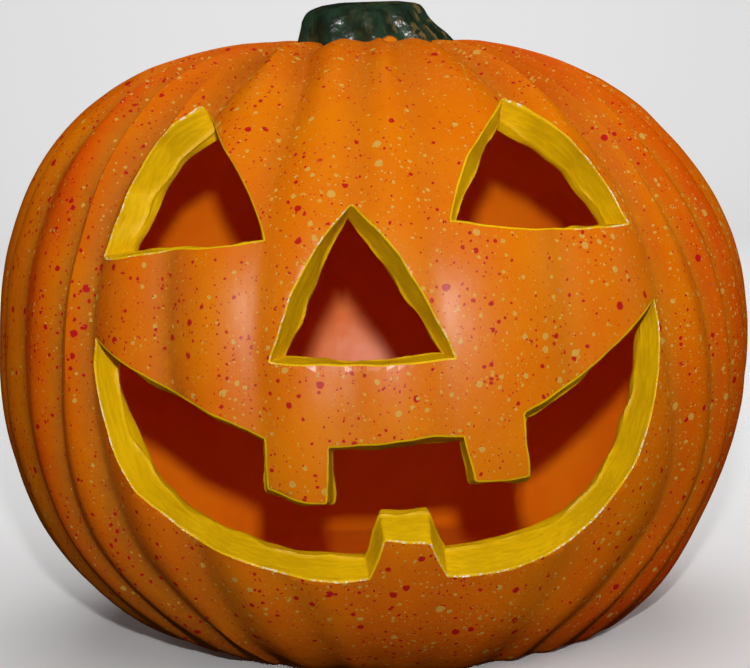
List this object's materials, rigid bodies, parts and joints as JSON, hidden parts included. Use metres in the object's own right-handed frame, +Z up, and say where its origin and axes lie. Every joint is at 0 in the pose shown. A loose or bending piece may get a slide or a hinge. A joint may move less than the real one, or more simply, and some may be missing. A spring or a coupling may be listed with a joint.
{
  "type": "carved pumpkin lantern",
  "caption": "Hollow craft pumpkin with a lobed orange body, a short ribbed stem, and eyes, a nose and a grinning toothed mouth cut through its wall.",
  "frame": {"origin": "under the middle of the object, in the plane of its flat base", "axes": "+Z up through the stem, the carved face looks along -Y, +X to the right as seen from the front"},
  "size_m": [0.251, 0.2516, 0.2085],
  "materials": {
    "orange_skin": "satin orange paint with redder shading and fine red and ochre spatter",
    "yellow_cut_faces": "thick brushed yellow paint",
    "orange_inside": "matt orange, unpainted inside",
    "green_stem": "dark green paint with brown dry brushing"
  },
  "bodies": {
    "root": {"pumpkin_lantern": "orange_skin"}
  },
  "joints": []
}
